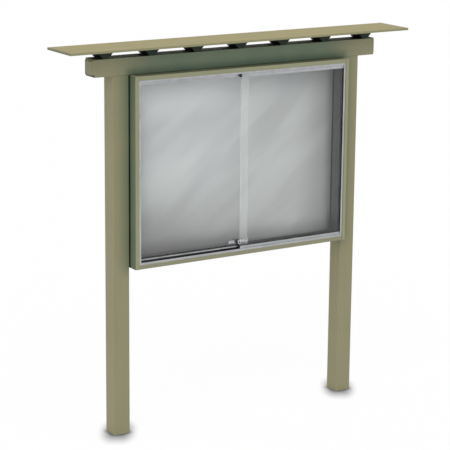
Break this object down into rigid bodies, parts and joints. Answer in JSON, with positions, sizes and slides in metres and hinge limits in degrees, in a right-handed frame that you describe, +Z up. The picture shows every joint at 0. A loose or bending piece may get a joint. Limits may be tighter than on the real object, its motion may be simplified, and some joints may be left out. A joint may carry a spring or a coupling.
{
  "type": "lockable notice board",
  "caption": "Freestanding plastic-lumber notice board: two posts, a flat roof on brackets, and a case with overlapping sliding glass doors and a ratchet showcase lock.",
  "frame": {"origin": "on the ground, midway between the posts and centred on their depth", "axes": "+X along the board towards its right end seen from the front, +Y from the glass towards the back, +Z up"},
  "size_m": [1.99, 0.246, 1.977],
  "materials": {
    "lumber": "khaki moulded plastic lumber with faint lengthwise streaks, matte",
    "roof_lumber": "khaki plastic lumber bleached paler by the weather, slightly blotched, matte",
    "fastener_steel": "zinc-plated steel",
    "axle_steel": "plain bright steel",
    "track_aluminium": "satin anodised aluminium extrusion",
    "lining_aluminium": "dull grey anodised sheet",
    "tack_vinyl": "pale grey matte tack surface",
    "pane_glass": "clear float glass",
    "black_plastic": "black moulded plastic",
    "lock_chrome": "chrome-plated lock metal",
    "lock_nickel": "nickel-plated brass plug with a worn face"
  },
  "bodies": {
    "stand": {"post_left": "lumber", "post_right": "lumber", "header_beam": "lumber", "roof_bracket_1": "lumber", "roof_bracket_2": "lumber", "roof_bracket_3": "lumber", "roof_bracket_4": "lumber", "roof_bracket_5": "lumber", "roof_bracket_6": "lumber", "roof_bracket_7": "lumber", "case_left": "lumber", "case_right": "lumber", "case_top": "lumber", "case_bottom": "lumber", "back_panel": "lumber", "roof_board": "roof_lumber", "header_lag_screw_left": "fastener_steel", "header_lag_screw_right": "fastener_steel", "roof_screw_1": "fastener_steel", "roof_screw_2": "fastener_steel", "roof_screw_3": "fastener_steel", "roof_screw_4": "fastener_steel", "roof_screw_5": "fastener_steel", "roof_screw_6": "fastener_steel", "roof_screw_7": "fastener_steel", "case_screw_left_lower": "fastener_steel", "case_screw_left_upper": "fastener_steel", "case_screw_right_lower": "fastener_steel", "case_screw_right_upper": "fastener_steel", "lower_track": "track_aluminium", "upper_track": "track_aluminium", "left_side_channel": "track_aluminium", "right_side_channel": "track_aluminium", "case_lining": "lining_aluminium", "tack_board": "tack_vinyl", "case_spacer_left": "black_plastic", "case_spacer_right": "black_plastic"},
    "left_door": {"left_glass": "pane_glass", "left_door_shoe": "track_aluminium", "left_door_top_rail": "track_aluminium", "left_door_glide": "track_aluminium", "left_roller_axle_inner": "axle_steel", "left_roller_axle_outer": "axle_steel", "left_door_bumper": "black_plastic", "ratchet_bar": "lock_chrome"},
    "right_door": {"right_glass": "pane_glass", "right_door_shoe": "track_aluminium", "right_door_top_rail": "track_aluminium", "right_door_glide": "track_aluminium", "right_roller_axle_inner": "axle_steel", "right_roller_axle_outer": "axle_steel", "right_door_bumper": "black_plastic"},
    "left_roller_inner": {"left_roller_inner": "black_plastic"},
    "left_roller_outer": {"left_roller_outer": "black_plastic"},
    "right_roller_inner": {"right_roller_inner": "black_plastic"},
    "right_roller_outer": {"right_roller_outer": "black_plastic"},
    "lock_barrel": {"lock_barrel": "lock_chrome", "pawl_spring": "axle_steel"},
    "lock_plug": {"lock_plug": "lock_nickel"},
    "lock_pawl": {"lock_pawl": "axle_steel"}
  },
  "joints": [
    {"name": "left_door_slide", "type": "slide", "parent": "stand", "child": "left_door", "axis": [1, 0, 0], "range_m": [0, 0.566]},
    {"name": "right_door_slide", "type": "slide", "parent": "stand", "child": "right_door", "axis": [-1, 0, 0], "range_m": [0, 0.509]},
    {"name": "left_roller_inner_spin", "type": "hinge", "parent": "left_door", "child": "left_roller_inner", "pos_m": [-0.031, -0.076, 0.8987], "axis": [0, 1, 0], "continuous": true},
    {"name": "left_roller_outer_spin", "type": "hinge", "parent": "left_door", "child": "left_roller_outer", "pos_m": [-0.544, -0.076, 0.8987], "axis": [0, 1, 0], "continuous": true},
    {"name": "right_roller_inner_spin", "type": "hinge", "parent": "right_door", "child": "right_roller_inner", "pos_m": [0.039, -0.091, 0.8987], "axis": [0, -1, 0], "continuous": true},
    {"name": "right_roller_outer_spin", "type": "hinge", "parent": "right_door", "child": "right_roller_outer", "pos_m": [0.544, -0.091, 0.8987], "axis": [0, -1, 0], "continuous": true},
    {"name": "lock_barrel_slide", "type": "slide", "parent": "right_door", "child": "lock_barrel", "axis": [-1, 0, 0], "range_m": [0, 0.05]},
    {"name": "lock_plug_turn", "type": "hinge", "parent": "lock_barrel", "child": "lock_plug", "pos_m": [-0.0313, -0.1, 0.938], "axis": [0, 1, 0], "range_deg": [0, 90]},
    {"name": "lock_pawl_slide", "type": "slide", "parent": "lock_barrel", "child": "lock_pawl", "axis": [0, -1, 0], "range_m": [0, 0.0012]}
  ],
  "couplings": [
    {"joint": "left_roller_inner_spin", "follows": "left_door_slide", "rad_per_m": 153.85},
    {"joint": "left_roller_outer_spin", "follows": "left_door_slide", "rad_per_m": 153.85},
    {"joint": "right_roller_inner_spin", "follows": "right_door_slide", "rad_per_m": 153.85},
    {"joint": "right_roller_outer_spin", "follows": "right_door_slide", "rad_per_m": 153.85},
    {"joint": "lock_pawl_slide", "follows": "lock_plug_turn", "m_per_rad": 0.000763}
  ]
}
